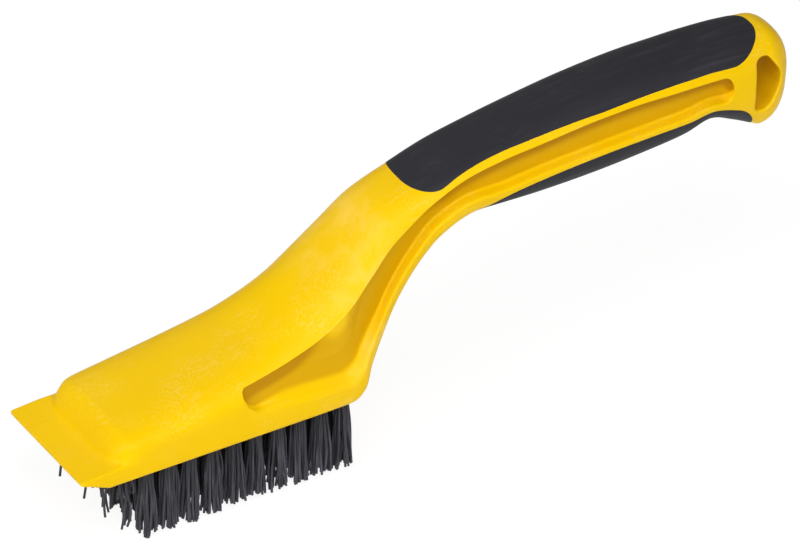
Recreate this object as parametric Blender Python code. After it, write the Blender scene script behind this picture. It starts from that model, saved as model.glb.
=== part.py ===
"""Stripping brush: one moulded handle and head with a scraper lip, two soft grip pads and 55 bristle tufts.

The handle is a loft between sections that fan round the neck. Each section is a pair of Lame curves
(superellipses) between a point on the bottom rail and a point on the top rail. The grooves, the pads'
recesses, the hang hole and the tuft holes are cut out of it.
Run with blender --background --python part.py, or from the text editor.
"""
import math
import random
from collections import namedtuple

import bmesh
import bpy
from mathutils import Vector

# Driving dimensions in metres: x runs back from the scraper edge, z up from the bristle tips
CLEARANCE = 0.0003

# Head block and scraper lip
HEAD_WIDTH = 0.0504
HEAD_FLAT_LENGTH = 0.0958
LIP_LENGTH = 0.0112
LIP_EDGE_THICKNESS = 0.0014
LIP_TOP_AT_EDGE = 0.0067
LIP_TOP_SLOPE = 0.076
LIP_CORNER_RADIUS = 0.0008
DOME_FOOT_GAP = 0.0008
DOME_RAMP = 0.0092
DOME_CORNER_RADIUS = 0.0120
DOME_FRONT_HEIGHT = 0.0173
DOME_MIDDLE_HEIGHT = 0.0269
DOME_MIDDLE_AHEAD = 0.0330

# Bristle field, with its margins from the edges of the head's flat underside
BRISTLE_LENGTH = 0.0270
TUFT_COLUMNS = 11
TUFT_ROWS = 5
TUFT_FRONT_MARGIN = 0.0081
TUFT_REAR_MARGIN = 0.0017
TUFT_SIDE_MARGIN = 0.0050
TUFT_HOLE_DIAMETER = 0.0054
TUFT_HOLE_ROOF = 0.0020
STRANDS_PER_TUFT = 8
FRONT_STRANDS_LEFT = 3
STRAND_GAP = 0.00028
STRAND_TIP_SCALE = 0.72
STRAND_SPLAY = 0.0013
STRAND_SPLAY_SPREAD = 0.0003
STRAND_SHORTEST = 0.0016
STRAND_LONGEST = 0.0005

# Neck and grip: places behind the rear of the head's flat underside
NECK_END_BEHIND = 0.0356
KNOB_BEHIND = 0.1755
GRIP_WIDTH = 0.0328
KNOB_WIDTH = 0.0284

# Side grooves with the web between them, from ahead of the head's rear to a margin before the knob
WEB_THICKNESS = 0.0196
GROOVE_AHEAD = 0.0427
GROOVE_REAR_MARGIN = 0.0160
GROOVE_FRONT_RADIUS = 0.0022
GROOVE_REAR_RADIUS = 0.0052
GROOVE_FILLET = 0.0040
GROOVE_FRONT_DEPTH = 0.0060

# Soft grip pads, from behind the head's rear to a margin before the knob
PAD_THICKNESS = 0.0014
TOP_PAD_BEHIND = 0.0340
TOP_PAD_REAR_MARGIN = 0.0004
TOP_PAD_FRONT_STRIP = 0.0039
TOP_PAD_REAR_STRIP = 0.0016
TOP_PAD_CORNER = 0.0080
TOP_PAD_REAR_ROUND = 0.0150
UNDER_PAD_BEHIND = 0.0530
UNDER_PAD_REAR_MARGIN = 0.0035
UNDER_PAD_REAR_ROUND = 0.0100

# Knob end and hang hole, whose flat stands ahead of the knob's last section
KNOB_ROUND = 0.0127
HOLE_AHEAD = 0.0071
HOLE_SHOULDER = 0.0050
HOLE_REACH = 0.0124
HOLE_MID_Z = 0.0686
HOLE_HALF_HEIGHT = 0.0107
HOLE_LEAN = 0.0004
HOLE_CORNER_RADIUS = 0.0030

# How finely the round shapes are faceted, and how far cutters run past the surface
LOW_STEPS = 5
UP_STEPS = 7
PAD_STEPS = 7
BODY_RINGS = 42
DOME_RINGS = 6
GROOVE_RINGS = 30
TOP_PAD_RINGS = 12
UNDER_PAD_RINGS = 18
HOLE_CORNER_STEPS = 3
KNOB_ANGLES = (18, 35, 50, 63, 74, 83)
FRONT_SHARES = (0.03, 0.2, 0.5)
REAR_SHARES = (0.7, 0.45, 0.25, 0.1, 0.02)
LEAST_WIDTH = 0.00002
CUTTER_MARGIN = 0.0030
SHARP_ANGLE = 35

HALF_WIDTH = HEAD_WIDTH / 2
HALF_GRIP = GRIP_WIDTH / 2
HEAD_REAR = LIP_LENGTH + HEAD_FLAT_LENGTH
KNOB_X = HEAD_REAR + KNOB_BEHIND
DOME_START = LIP_LENGTH + DOME_FOOT_GAP
DOME_END = DOME_START + DOME_CORNER_RADIUS
DOME_MIDDLE = HEAD_REAR - DOME_MIDDLE_AHEAD

Station = namedtuple(
    "Station",
    "top_x top_z bottom_x bottom_z half_width spring low_power up_power groove_top groove_floor pad_side",
)


def lip_top(x):
    """Height of the lip's upper plane above the head's underside."""
    return LIP_TOP_AT_EDGE + LIP_TOP_SLOPE * x


def block(x, crown, up_power, groove_top):
    """An upright station of the head block, flat below, with the lip's plane as its widest line."""
    return Station(x, crown, x, 0, HALF_WIDTH, lip_top(x), 12, up_power, groove_top, 0.0130, 0)


def neck(dx_top, top_z, dx_bottom, bottom_z, half_width, *rest):
    """A station of the neck or grip, with its x measured from the rear of the head's flat underside."""
    return Station(HEAD_REAR + dx_top, top_z, HEAD_REAR + dx_bottom, bottom_z, half_width, *rest)


def grip(top_share, top_z, bottom_share, bottom_z, half_width, *rest):
    """A station of the grip, with its x as shares of the way from the end of the neck to the knob."""
    reach = KNOB_BEHIND - NECK_END_BEHIND
    top, bottom = (NECK_END_BEHIND + reach * share for share in (top_share, bottom_share))
    return neck(top, top_z, bottom, bottom_z, half_width, *rest)


def narrowing(share):
    """Half width part way from the head, at 0, to the grip, at 1."""
    return HALF_WIDTH + (HALF_GRIP - HALF_WIDTH) * share


def knob_taper(share):
    """Half width part way from the grip, at 0, to the knob, at 1."""
    return HALF_GRIP + (KNOB_WIDTH / 2 - HALF_GRIP) * share


STATIONS = (
    block(DOME_END, DOME_FRONT_HEIGHT, 3.4, 0.0036),
    block(DOME_MIDDLE, DOME_MIDDLE_HEIGHT, 3.3, 0.0037),
    neck(-0.0190, 0.0331, -0.0160, 0, HALF_WIDTH, 0.0135, 12, 3.0, 0.0057, 0.0130, 0),
    neck(-0.0110, 0.0388, 0.0000, 0, narrowing(0.02), 0.0165, 12, 2.8, 0.0076, 0.0130, 0),
    neck(-0.0042, 0.0434, 0.0066, 0.0030, narrowing(0.07), 0.0185, 10, 2.8, 0.0079, 0.0125, 0),
    neck(0.0030, 0.0491, 0.0099, 0.0102, narrowing(0.23), 0.0180, 8, 2.8, 0.0084, 0.0115, 0),
    neck(0.0103, 0.0556, 0.0148, 0.0188, narrowing(0.45), 0.0170, 7, 2.8, 0.0083, 0.0118, 0),
    neck(0.0191, 0.0637, 0.0221, 0.0297, narrowing(0.73), 0.0160, 6, 2.8, 0.0085, 0.0110, 0),
    neck(0.0268, 0.0674, 0.0312, 0.0403, narrowing(0.91), 0.0130, 5, 2.9, 0.0072, 0.0095, 0),
    grip(0, 0.0701, 0.0415, 0.0487, HALF_GRIP, 0.0105, 4, 3.0, 0.0052, 0.0092, 0),
    grip(0.1029, 0.0743, 0.1315, 0.0535, HALF_GRIP, 0.0110, 3.4, 3.0, 0.0042, 0.0090, 0.0010),
    grip(0.2173, 0.0780, 0.2244, 0.0526, HALF_GRIP, 0.0135, 3.0, 3.0, 0.0046, 0.0112, 0.0068),
    grip(0.3317, 0.0811, 0.3317, 0.0518, HALF_GRIP, 0.0155, 3.0, 3.0, 0.0056, 0.0135, 0.0100),
    grip(0.4961, 0.0846, 0.4889, 0.0520, HALF_GRIP, 0.0165, 3.0, 3.0, 0.0068, 0.0146, 0.0116),
    grip(0.6748, 0.0862, 0.6605, 0.0537, HALF_GRIP, 0.0165, 3.0, 3.0, 0.0077, 0.0140, 0.0108),
    grip(0.7498, 0.0862, 0.7498, 0.0552, knob_taper(0.1), 0.0155, 3.0, 3.0, 0.0080, 0.0128, 0.0094),
    grip(0.8249, 0.0862, 0.8270, 0.0580, knob_taper(0.32), 0.0140, 3.0, 3.0, 0.0084, 0.0110, 0.0072),
    grip(0.9178, 0.0865, 0.9056, 0.0532, knob_taper(0.64), 0.0165, 3.0, 2.9, 0.0098, 0.0128, 0.0082),
    grip(1, 0.0862, 0.9786, 0.0471, knob_taper(1), 0.0190, 2.9, 2.7, 0.0104, 0.0150, 0.0100),
)


def chord_lengths():
    """Distance along the top rail at each station."""
    lengths = [0.0]
    for before, after in zip(STATIONS, STATIONS[1:]):
        lengths.append(lengths[-1] + math.hypot(after.top_x - before.top_x, after.top_z - before.top_z))
    return lengths


KNOTS = chord_lengths()


def station_at(distance):
    """The section at a distance along the top rail, by a smooth curve through every station value."""
    index = max(i for i, knot in enumerate(KNOTS[:-1]) if knot <= max(distance, 0.0))
    span = KNOTS[index + 1] - KNOTS[index]
    t = (distance - KNOTS[index]) / span

    def slope(i, column):
        low, high = max(i - 1, 0), min(i + 1, len(STATIONS) - 1)
        rises = [STATIONS[k + 1][column] - STATIONS[k][column] for k in (low, high - 1)]
        if 0 in rises:
            return 0
        return (STATIONS[high][column] - STATIONS[low][column]) / (KNOTS[high] - KNOTS[low])

    values = []
    for column in range(len(Station._fields)):
        start, end = STATIONS[index][column], STATIONS[index + 1][column]
        leave, arrive = slope(index, column) * span, slope(index + 1, column) * span
        values.append(
            (2 * t**3 - 3 * t**2 + 1) * start
            + (t**3 - 2 * t**2 + t) * leave
            + (3 * t**2 - 2 * t**3) * end
            + (t**3 - t**2) * arrive
        )
    return Station(*values)


def distance_at(x):
    """Distance along the top rail where the rail passes x, found by halving."""
    low, high = 0.0, KNOTS[-1]
    for _ in range(40):
        middle = (low + high) / 2
        if station_at(middle).top_x < x:
            low = middle
        else:
            high = middle
    return (low + high) / 2


def spread(start, end, count):
    """Evenly spaced values from start to end, both included."""
    return [start + (end - start) * i / (count - 1) for i in range(count)]


def height_of(station):
    return math.hypot(station.top_x - station.bottom_x, station.top_z - station.bottom_z)


def place(station, points):
    """Turn section points (y, height above the bottom rail) into points of the model."""
    height = height_of(station)
    up_x = (station.top_x - station.bottom_x) / height
    up_z = (station.top_z - station.bottom_z) / height
    rail_z = BRISTLE_LENGTH + station.bottom_z
    return [Vector((station.bottom_x + up_x * v, y, rail_z + up_z * v)) for y, v in points]


def lower_curve(station, angle, grow=0.0):
    """Point of the lower Lame quarter; angle 0 is the widest line and pi/2 the bottom."""
    power = 2 / station.low_power
    y = (station.half_width + grow) * max(math.cos(angle), 0.0) ** power
    v = station.spring - (station.spring + grow) * math.sin(angle) ** power
    return y, v


def upper_curve(station, angle, grow=0.0, half_width=None):
    """Point of the upper Lame quarter; angle 0 is the widest line and pi/2 the crown."""
    power = 2 / station.up_power
    half_width = station.half_width if half_width is None else half_width
    y = (half_width + grow) * max(math.cos(angle), 0.0) ** power
    v = station.spring + (height_of(station) - station.spring + grow) * math.sin(angle) ** power
    return y, v


def mirrored(half):
    """Close a half outline, listed from the bottom centre round to the top centre, into a whole ring."""
    other = [(-y, v) for y, v in reversed(half[1:-1])]
    return [(0.0, half[0][1])] + half[1:-1] + [(0.0, half[-1][1])] + other


def body_ring(station, dome_half_width=None):
    """Outline of the handle moulding at one station, with a ledge where the dome is narrower than the lip."""
    quarter = math.pi / 2
    half = [lower_curve(station, quarter * (1 - i / LOW_STEPS)) for i in range(LOW_STEPS + 1)]
    half += [upper_curve(station, quarter * i / UP_STEPS, 0.0, dome_half_width) for i in range(UP_STEPS + 1)]
    return place(station, mirrored(half))


def lip_ring(x, bottom_z, half_width, crown, dome_half_width):
    """Outline of the scraper lip or of the front of the dome, upright at x."""
    top = lip_top(x)
    station = STATIONS[0]._replace(
        top_x=x, top_z=max(crown, top + LEAST_WIDTH), bottom_x=x, bottom_z=bottom_z,
        half_width=half_width, spring=top - bottom_z, up_power=3,
    )
    return body_ring(station, dome_half_width)


def head_rings():
    """Rings of the lip and of the dome's rounded front, up to the first station."""
    corner_y = HALF_WIDTH - DOME_CORNER_RADIUS
    edge_bottom = LIP_TOP_AT_EDGE - LIP_EDGE_THICKNESS
    rings = []
    for x in (0.0, LIP_CORNER_RADIUS):
        half_width = HALF_WIDTH - (LIP_CORNER_RADIUS - x)
        rings.append(lip_ring(x, edge_bottom * (1 - x / LIP_LENGTH), half_width, 0, corner_y))
    rings.append(lip_ring(LIP_LENGTH, 0, HALF_WIDTH, 0, corner_y))
    rings.append(lip_ring(DOME_START, 0, HALF_WIDTH, 0, corner_y))
    climb = (DOME_MIDDLE_HEIGHT - DOME_FRONT_HEIGHT) / (DOME_MIDDLE - DOME_END)
    for x in spread(DOME_START, DOME_END, DOME_RINGS + 2)[1:-1]:
        rise = min((x - DOME_START) / DOME_RAMP, 1)
        full = DOME_FRONT_HEIGHT - (DOME_END - x) * climb
        crown = lip_top(x) + (full - lip_top(x)) * rise * (2 - rise)
        reach = DOME_END - x
        dome_half_width = corner_y + math.sqrt(max(DOME_CORNER_RADIUS**2 - reach**2, 0))
        rings.append(lip_ring(x, 0, HALF_WIDTH, crown, dome_half_width))
    return rings


def knob_rings():
    """Rings that round off the knob behind the last station, as a quarter of an ellipse."""
    last = STATIONS[-1]
    centre = Vector(((last.top_x + last.bottom_x) / 2, 0, BRISTLE_LENGTH + (last.top_z + last.bottom_z) / 2))
    up = Vector((last.top_x - last.bottom_x, 0, last.top_z - last.bottom_z)).normalized()
    back = Vector((up.z, 0, -up.x))
    outline = body_ring(last)
    rings = []
    for angle in KNOB_ANGLES:
        shrink = math.cos(math.radians(angle))
        shift = back * KNOB_ROUND * math.sin(math.radians(angle))
        rings.append([centre + (point - centre) * shrink + shift for point in outline])
    return rings


def finished(name, shape, collection):
    """Turn a mesh that was being built into a smooth-shaded object."""
    mesh = bpy.data.meshes.new(name)
    shape.to_mesh(mesh)
    shape.free()
    mesh.shade_smooth()
    mesh.set_sharp_from_angle(angle=math.radians(SHARP_ANGLE))
    made = bpy.data.objects.new(name, mesh)
    collection.objects.link(made)
    return made


def loft(name, rings, collection):
    """Skin a row of rings that have the same number of points, and cap both ends."""
    shape = bmesh.new()
    rows = [[shape.verts.new(point) for point in ring] for ring in rings]
    for row, following in zip(rows, rows[1:]):
        for i in range(len(row)):
            j = (i + 1) % len(row)
            shape.faces.new((row[i], row[j], following[j], following[i]))
    shape.faces.new(reversed(rows[0]))
    shape.faces.new(rows[-1])
    bmesh.ops.remove_doubles(shape, verts=shape.verts, dist=LEAST_WIDTH / 2)
    bmesh.ops.dissolve_degenerate(shape, dist=LEAST_WIDTH / 4, edges=shape.edges)
    bmesh.ops.recalc_face_normals(shape, faces=shape.faces)
    return finished(name, shape, collection)


def as_cutter(made):
    made.hide_render = True
    made.display_type = "WIRE"
    return made


def cut(target, cutter):
    """Take one cutter out of the target with a Boolean modifier."""
    modifier = target.modifiers.new(cutter.name, "BOOLEAN")
    modifier.operation = "DIFFERENCE"
    modifier.solver = "EXACT"
    modifier.object = cutter


def paint(made, name, colour, roughness):
    """Give a piece its own plastic material."""
    material = bpy.data.materials.new(name)
    material.use_nodes = True
    shader = material.node_tree.nodes["Principled BSDF"]
    shader.inputs["Base Color"].default_value = (*colour, 1)
    shader.inputs["Roughness"].default_value = roughness
    shader.inputs["Metallic"].default_value = 0
    made.data.materials.append(material)


def end_taper(position, start, end, front_radius, rear_radius):
    """Share of the full height left near a groove's rounded ends, 1 along the middle."""
    front = min((position - start) / front_radius, 1)
    rear = min((end - position) / rear_radius, 1)
    return math.sqrt(max(1 - (1 - front) ** 2, 0)) * math.sqrt(max(1 - (1 - rear) ** 2, 0))


def groove_cutter(side, collection):
    """The side groove: a loft along the handle, sunk to the web, with a filleted floor."""
    front_x = HEAD_REAR - GROOVE_AHEAD
    start, end = distance_at(front_x), distance_at(KNOB_X - GROOVE_REAR_MARGIN)
    neck_end = distance_at(HEAD_REAR + NECK_END_BEHIND)
    round_front = [start + GROOVE_FRONT_RADIUS * share for share in FRONT_SHARES]
    round_rear = [end - GROOVE_REAR_RADIUS * share for share in REAR_SHARES]
    stretch = spread(start + GROOVE_FRONT_RADIUS, end - GROOVE_REAR_RADIUS, GROOVE_RINGS)
    outside = HALF_WIDTH + CUTTER_MARGIN
    corner = 1 - math.sqrt(0.5)
    rings = []
    for position in round_front + stretch + round_rear:
        station = station_at(position)
        ceiling = height_of(station) - station.groove_top
        middle = (ceiling + station.groove_floor) / 2
        half = (ceiling - station.groove_floor) / 2
        half *= end_taper(position, start, end, GROOVE_FRONT_RADIUS, GROOVE_REAR_RADIUS)
        deepen = min(max((position - start) / (neck_end - start), 0), 1)
        web = HALF_WIDTH - GROOVE_FRONT_DEPTH + (WEB_THICKNESS / 2 - HALF_WIDTH + GROOVE_FRONT_DEPTH) * deepen
        fillet = min(GROOVE_FILLET, half)
        section = [
            (outside, middle - half),
            (web + fillet, middle - half),
            (web + fillet * corner, middle - half + fillet * corner),
            (web, middle - half + fillet),
            (web, middle + half),
            (outside, middle + half),
        ]
        rings.append(place(station, [(side * y, v) for y, v in section]))
    return as_cutter(loft("groove_cutter", rings, collection))


def top_pad_span():
    """Where the top pad starts and ends, in x."""
    return HEAD_REAR + TOP_PAD_BEHIND, KNOB_X - TOP_PAD_REAR_MARGIN


def top_pad_edge(x, half_width, clearance):
    """Half width of the top pad at x: a strip beside it, rounded front corners and a round rear end."""
    start, end = top_pad_span()
    strip = TOP_PAD_FRONT_STRIP + (TOP_PAD_REAR_STRIP - TOP_PAD_FRONT_STRIP) * (x - start) / (end - start)
    front = x - start + clearance
    rear = end + clearance - x
    edge = half_width - strip + clearance
    if front < TOP_PAD_CORNER:
        edge -= TOP_PAD_CORNER - math.sqrt(max(TOP_PAD_CORNER**2 - (TOP_PAD_CORNER - front) ** 2, 0))
    if rear < TOP_PAD_REAR_ROUND:
        edge *= math.sqrt(max(1 - (1 - rear / TOP_PAD_REAR_ROUND) ** 2, 0))
    return edge


def pad_section(station, edge_angle, outer, inner, curve):
    """A strip that follows one Lame quarter and its mirror image, from outer to inner growth."""
    quarter = math.pi / 2
    angles = spread(edge_angle, quarter, PAD_STEPS)
    over = [curve(station, angle, outer) for angle in angles]
    under = [curve(station, angle, -inner) for angle in angles]
    top = over + [(-y, v) for y, v in reversed(over[:-1])]
    bottom = under + [(-y, v) for y, v in reversed(under[:-1])]
    return top + list(reversed(bottom))


def top_pad_loft(name, collection, outer, clearance):
    """The top pad, or its cutter when outer is above the surface."""
    start, end = top_pad_span()
    front, rear = start - clearance, end + clearance
    xs = [front + TOP_PAD_CORNER * share for share in (0, *FRONT_SHARES)]
    xs += spread(front + TOP_PAD_CORNER, rear - TOP_PAD_REAR_ROUND, TOP_PAD_RINGS)
    xs += [rear - TOP_PAD_REAR_ROUND * share for share in REAR_SHARES]
    rings = []
    for x in xs:
        station = station_at(distance_at(x))
        edge = min(top_pad_edge(x, station.half_width, clearance), station.half_width - LEAST_WIDTH)
        share = edge / station.half_width
        angle = math.acos(share ** (station.up_power / 2))
        section = pad_section(station, angle, outer, PAD_THICKNESS + clearance, upper_curve)
        rings.append(place(station, section))
    return loft(name, rings, collection)


def under_pad_loft(name, collection, outer, clearance):
    """The pad under the grip, or its cutter: a pointed tongue in front that wraps the sides behind."""
    start = distance_at(HEAD_REAR + UNDER_PAD_BEHIND - clearance)
    end = distance_at(KNOB_X - UNDER_PAD_REAR_MARGIN + clearance)
    stretch = spread(start, end - UNDER_PAD_REAR_ROUND, UNDER_PAD_RINGS)
    round_rear = [end - UNDER_PAD_REAR_ROUND * share for share in REAR_SHARES]
    rings = []
    for position in stretch + round_rear:
        station = station_at(position)
        rear = min((end - position) / UNDER_PAD_REAR_ROUND, 1)
        side = (max(station.pad_side, 0) + clearance + LEAST_WIDTH) * math.sqrt(1 - (1 - rear) ** 2)
        angle = math.asin((1 - side / station.spring) ** (station.low_power / 2))
        section = pad_section(station, angle, outer, PAD_THICKNESS + clearance, lower_curve)
        rings.append(place(station, section))
    return loft(name, rings, collection)


def rounded_outline(corners, radius, steps):
    """A polygon in the x, z plane with every corner turned into an arc."""
    outline = []
    for before, corner, after in zip(corners[-1:] + corners[:-1], corners, corners[1:] + corners[:1]):
        back = (before - corner).normalized()
        ahead = (after - corner).normalized()
        half_angle = back.angle(ahead) / 2
        centre = corner + (back + ahead).normalized() * (radius / math.sin(half_angle))
        start = (corner + back * (radius / math.tan(half_angle)) - centre).normalized()
        end = (corner + ahead * (radius / math.tan(half_angle)) - centre).normalized()
        outline += [centre + start.slerp(end, i / steps) * radius for i in range(steps + 1)]
    return outline


def hang_hole_cutter(collection):
    """The hang hole: a rounded D with its flat towards the head and its apex at mid height."""
    mid = BRISTLE_LENGTH + HOLE_MID_Z
    low, high = mid - HOLE_HALF_HEIGHT, mid + HOLE_HALF_HEIGHT
    flat = KNOB_X - HOLE_AHEAD
    corners = [
        Vector((flat - HOLE_LEAN, 0, low)),
        Vector((flat + HOLE_SHOULDER, 0, low)),
        Vector((flat + HOLE_REACH, 0, mid)),
        Vector((flat + HOLE_SHOULDER + HOLE_LEAN, 0, high)),
        Vector((flat + HOLE_LEAN, 0, high)),
    ]
    half = Vector((0, HALF_GRIP + CUTTER_MARGIN, 0))
    outline = rounded_outline(corners, HOLE_CORNER_RADIUS, HOLE_CORNER_STEPS)
    rings = [[point + shift for point in outline] for shift in (-half, half)]
    return as_cutter(loft("hang_hole_cutter", rings, collection))


def tuft_places():
    """Name, centre and strands of every tuft; the front column is worn thin."""
    first_x = LIP_LENGTH + TUFT_FRONT_MARGIN
    for row, y in enumerate(spread(TUFT_SIDE_MARGIN - HALF_WIDTH, HALF_WIDTH - TUFT_SIDE_MARGIN, TUFT_ROWS)):
        for column, x in enumerate(spread(first_x, HEAD_REAR - TUFT_REAR_MARGIN, TUFT_COLUMNS)):
            strands = STRANDS_PER_TUFT if column else FRONT_STRANDS_LEFT
            yield f"tuft_{row + 1}_{column + 1:02d}", x, y, strands


def tuft_hole_top():
    """Height of the tuft holes' blind ends, a roof's thickness under the lip's plane at the first column."""
    return BRISTLE_LENGTH + lip_top(LIP_LENGTH + TUFT_FRONT_MARGIN) - TUFT_HOLE_ROOF


def add_drum(shape, x, y, low, high, diameter):
    """An upright prism in a mesh being built, with as many sides as a tuft has strands."""
    made = bmesh.ops.create_cone(
        shape, cap_ends=True, cap_tris=True, segments=STRANDS_PER_TUFT,
        radius1=diameter / 2, radius2=diameter / 2, depth=high - low,
    )
    bmesh.ops.translate(shape, vec=(x, y, (low + high) / 2), verts=made["verts"])


def tuft_hole_cutter(collection):
    """Every blind tuft hole, opening through the underside of the head."""
    shape = bmesh.new()
    for _, x, y, _ in tuft_places():
        add_drum(shape, x, y, BRISTLE_LENGTH - CUTTER_MARGIN, tuft_hole_top(), TUFT_HOLE_DIAMETER)
    return as_cutter(finished("tuft_hole_cutter", shape, collection))


def tuft(name, x, y, strands, collection, chance):
    """A root plug in its hole, whose lower face splits into sectors that are drawn out as strands."""
    shape = bmesh.new()
    add_drum(shape, x, y, BRISTLE_LENGTH, tuft_hole_top() - CLEARANCE, TUFT_HOLE_DIAMETER - 2 * CLEARANCE)
    under = [face for face in shape.faces if face.normal.z < -0.9]
    under = sorted(under, key=lambda face: -face.calc_center_median().x)[:strands]
    bmesh.ops.inset_individual(shape, faces=under, thickness=STRAND_GAP, depth=0)
    drawn = bmesh.ops.extrude_discrete_faces(shape, faces=under)["faces"]
    centre = Vector((x, y, 0))
    for face in drawn:
        root = face.calc_center_median()
        outward = (root - centre) * Vector((1, 1, 0))
        splay = STRAND_SPLAY + chance.uniform(-STRAND_SPLAY_SPREAD, STRAND_SPLAY_SPREAD)
        tip_z = max(chance.uniform(-STRAND_LONGEST, STRAND_SHORTEST), 0.0)
        tip = Vector((root.x, root.y, tip_z)) + outward.normalized() * splay
        for vertex in face.verts:
            vertex.co = tip + (vertex.co - root) * STRAND_TIP_SCALE
    shape.normal_update()
    return finished(name, shape, collection)


def build():
    for old in list(bpy.data.objects):
        bpy.data.objects.remove(old, do_unlink=True)
    brush = bpy.data.collections.new("stripping_brush")
    cutters = bpy.data.collections.new("cutters")
    bpy.context.scene.collection.children.link(brush)
    bpy.context.scene.collection.children.link(cutters)

    stretch = spread(0, KNOTS[-1], BODY_RINGS)
    rings = head_rings() + [body_ring(station_at(distance)) for distance in stretch] + knob_rings()
    handle = loft("handle_body", rings, brush)
    paint(handle, "yellow_moulding", (0.93, 0.57, 0.0), 0.38)
    for side in (-1, 1):
        cut(handle, groove_cutter(side, cutters))
    cut(handle, as_cutter(top_pad_loft("top_pad_cutter", cutters, CUTTER_MARGIN, CLEARANCE)))
    cut(handle, as_cutter(under_pad_loft("under_pad_cutter", cutters, CUTTER_MARGIN, CLEARANCE)))
    cut(handle, hang_hole_cutter(cutters))
    cut(handle, tuft_hole_cutter(cutters))

    top_pad = top_pad_loft("grip_pad_top", brush, 0, 0)
    paint(top_pad, "soft_black_top", (0.03, 0.03, 0.035), 0.6)
    under_pad = under_pad_loft("grip_pad_under", brush, 0, 0)
    paint(under_pad, "soft_black_under", (0.03, 0.03, 0.035), 0.6)

    chance = random.Random(11)
    for name, x, y, strands in tuft_places():
        paint(tuft(name, x, y, strands, brush, chance), name + "_nylon", (0.02, 0.02, 0.022), 0.5)

    xs = [point.x for ring in rings for point in ring]
    middle = (min(xs) + max(xs)) / 2
    for made in list(brush.objects) + list(cutters.objects):
        made.location.x = -middle


build()
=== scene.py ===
import math
import random

import bmesh
import bpy
import numpy as np
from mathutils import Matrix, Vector
from mathutils.bvhtree import BVHTree


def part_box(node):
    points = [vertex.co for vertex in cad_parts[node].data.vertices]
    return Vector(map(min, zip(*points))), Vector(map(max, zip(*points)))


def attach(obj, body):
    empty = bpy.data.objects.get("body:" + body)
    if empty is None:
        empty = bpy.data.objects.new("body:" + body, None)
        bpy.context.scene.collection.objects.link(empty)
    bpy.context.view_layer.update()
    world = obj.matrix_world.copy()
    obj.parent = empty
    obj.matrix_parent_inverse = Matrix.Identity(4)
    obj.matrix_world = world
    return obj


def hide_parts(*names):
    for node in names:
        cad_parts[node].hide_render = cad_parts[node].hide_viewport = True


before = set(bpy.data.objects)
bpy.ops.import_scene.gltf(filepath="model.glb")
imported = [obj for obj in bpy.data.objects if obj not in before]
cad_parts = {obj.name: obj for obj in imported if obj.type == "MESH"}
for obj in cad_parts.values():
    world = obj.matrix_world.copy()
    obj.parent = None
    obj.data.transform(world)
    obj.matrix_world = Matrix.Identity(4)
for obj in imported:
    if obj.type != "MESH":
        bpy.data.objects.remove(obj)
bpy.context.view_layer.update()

# The studio: a plain pale floor under the bristle tips, soft light from all round and four large soft lamps.
# The camera stands ahead of the scraper's near corner and looks down along a long lens.
CAMERA_AZIMUTH = math.radians(-30.39)
CAMERA_ELEVATION = math.radians(35.22)
CAMERA_DISTANCE = 5.0
CAMERA_AIM = Vector((-0.00025, 0.0104, 0.0478))
PIXELS_PER_METRE = 2887
PHOTO_WIDTH = 800
SENSOR_WIDTH = 36

back = Vector((
    math.sin(CAMERA_AZIMUTH) * math.cos(CAMERA_ELEVATION),
    -math.cos(CAMERA_AZIMUTH) * math.cos(CAMERA_ELEVATION),
    math.sin(CAMERA_ELEVATION),
))
bpy.ops.object.camera_add(location=CAMERA_AIM + back * CAMERA_DISTANCE)
camera = bpy.context.object
camera.rotation_euler = back.to_track_quat("Z", "Y").to_euler()
camera.data.sensor_width = SENSOR_WIDTH
camera.data.lens = PIXELS_PER_METRE * CAMERA_DISTANCE * SENSOR_WIDTH / PHOTO_WIDTH
camera.data.clip_end = 2 * CAMERA_DISTANCE
bpy.context.scene.camera = camera

bpy.context.scene.view_settings.view_transform = "Standard"
world = bpy.data.worlds.new("soft_room")
world.use_nodes = True
world.node_tree.nodes["Background"].inputs["Color"].default_value = (1.0, 1.0, 1.0, 1)
world.node_tree.nodes["Background"].inputs["Strength"].default_value = 0.23
bpy.context.scene.world = world


def soft_lamp(name, place, size, power):
    """A square lamp that faces the middle of the brush."""
    bpy.ops.object.light_add(type="AREA", location=place)
    lamp = bpy.context.object
    lamp.name = name
    lamp.rotation_euler = (Vector(place) - CAMERA_AIM).to_track_quat("Z", "Y").to_euler()
    lamp.data.size = size
    lamp.data.energy = power


soft_lamp("key_lamp", (-0.25, -0.75, 1.35), 0.8, 10)
soft_lamp("front_lamp", (-0.3, -1.4, 0.7), 0.8, 7.8)
soft_lamp("back_lamp", (0.1, 1.3, 1.0), 0.8, 2)
soft_lamp("left_lamp", (-1.2, -0.2, 1.0), 0.8, 9.5)

bpy.ops.mesh.primitive_plane_add(size=6, location=(0, 0, 0))
floor = bpy.context.object
floor.name = "pale_floor"
FLOOR_WHITE = 0.85
GLOW = 1.05
pale = bpy.data.materials.new("pale_floor")
pale.use_nodes = True
nodes, links = pale.node_tree.nodes, pale.node_tree.links
nodes["Principled BSDF"].inputs["Base Color"].default_value = (0.95, 0.95, 0.95, 1)
nodes["Principled BSDF"].inputs["Roughness"].default_value = 0.9
nodes["Principled BSDF"].inputs["Specular IOR Level"].default_value = 0.1
glow = nodes.new("ShaderNodeEmission")
glow.inputs["Strength"].default_value = GLOW
seen_share = nodes.new("ShaderNodeMath")
seen_share.operation = "MULTIPLY"
seen_share.inputs[1].default_value = FLOOR_WHITE
ray = nodes.new("ShaderNodeLightPath")
seen = nodes.new("ShaderNodeMath")
seen.operation = "MAXIMUM"
links.new(ray.outputs["Is Camera Ray"], seen.inputs[0])
links.new(ray.outputs["Is Glossy Ray"], seen.inputs[1])
links.new(seen.outputs["Value"], seen_share.inputs[0])
lit = nodes.new("ShaderNodeMixShader")
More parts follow.
